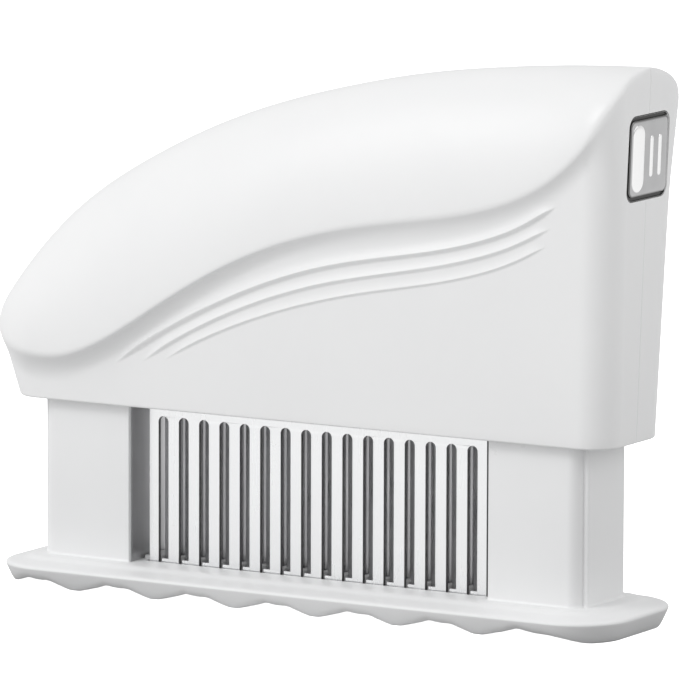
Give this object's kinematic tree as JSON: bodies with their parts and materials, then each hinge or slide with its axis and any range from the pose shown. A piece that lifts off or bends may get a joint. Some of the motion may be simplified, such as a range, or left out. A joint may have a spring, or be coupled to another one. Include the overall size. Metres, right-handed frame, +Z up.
{
  "type": "blade meat tenderizer",
  "caption": "Handheld meat tenderizer: a sloping palm-grip housing on sprung posts slides down over two legs and steel guard combs, pushing blade rows through a wavy slotted foot.",
  "frame": {"origin": "on the plane the foot stands on, under the middle of the whole object's length and width", "axes": "+X along the length, towards the tall end that carries the badge; +Y to the rear; +Z up"},
  "size_m": [0.1592, 0.0396, 0.1222],
  "materials": {
    "housing_plastic": "satin moulded white",
    "leg_plastic": "satin moulded white",
    "foot_plastic": "glossy moulded white",
    "inner_plastic": "matt moulded off-white",
    "guard_steel": "polished stainless sheet",
    "cheek_steel": "brushed stainless sheet",
    "blade_steel": "ground stainless",
    "clamp_steel": "brushed sheet",
    "badge_metal": "satin chrome with a raised border",
    "spring_steel": "drawn wire",
    "screw_steel": "zinc plated"
  },
  "bodies": {
    "base": {"base_plate": "foot_plastic", "left_leg": "leg_plastic", "right_leg": "leg_plastic", "front_guard_plate": "guard_steel", "rear_guard_plate": "guard_steel", "left_cheek_plate": "cheek_steel", "right_cheek_plate": "cheek_steel", "guide_frame": "inner_plastic", "frame_screws": "screw_steel", "leg_screws": "screw_steel", "guard_rivets": "screw_steel", "left_spring": "spring_steel", "right_spring": "spring_steel"},
    "handle": {"front_shell": "housing_plastic", "rear_shell": "housing_plastic", "end_badge": "badge_metal", "left_spring_post": "inner_plastic", "right_spring_post": "inner_plastic", "front_blade_row": "blade_steel", "middle_blade_row": "blade_steel", "rear_blade_row": "blade_steel", "blade_carrier": "inner_plastic", "blade_clamp_plate": "clamp_steel", "carrier_screws": "screw_steel", "shell_screws": "screw_steel"}
  },
  "joints": [
    {"name": "press_stroke", "type": "slide", "parent": "base", "child": "handle", "axis": [0, 0, -1], "range_m": [0, 0.02], "stiffness_N_per_m": 600, "springref_m": -0.01, "deforming": ["left_spring", "right_spring"]}
  ]
}
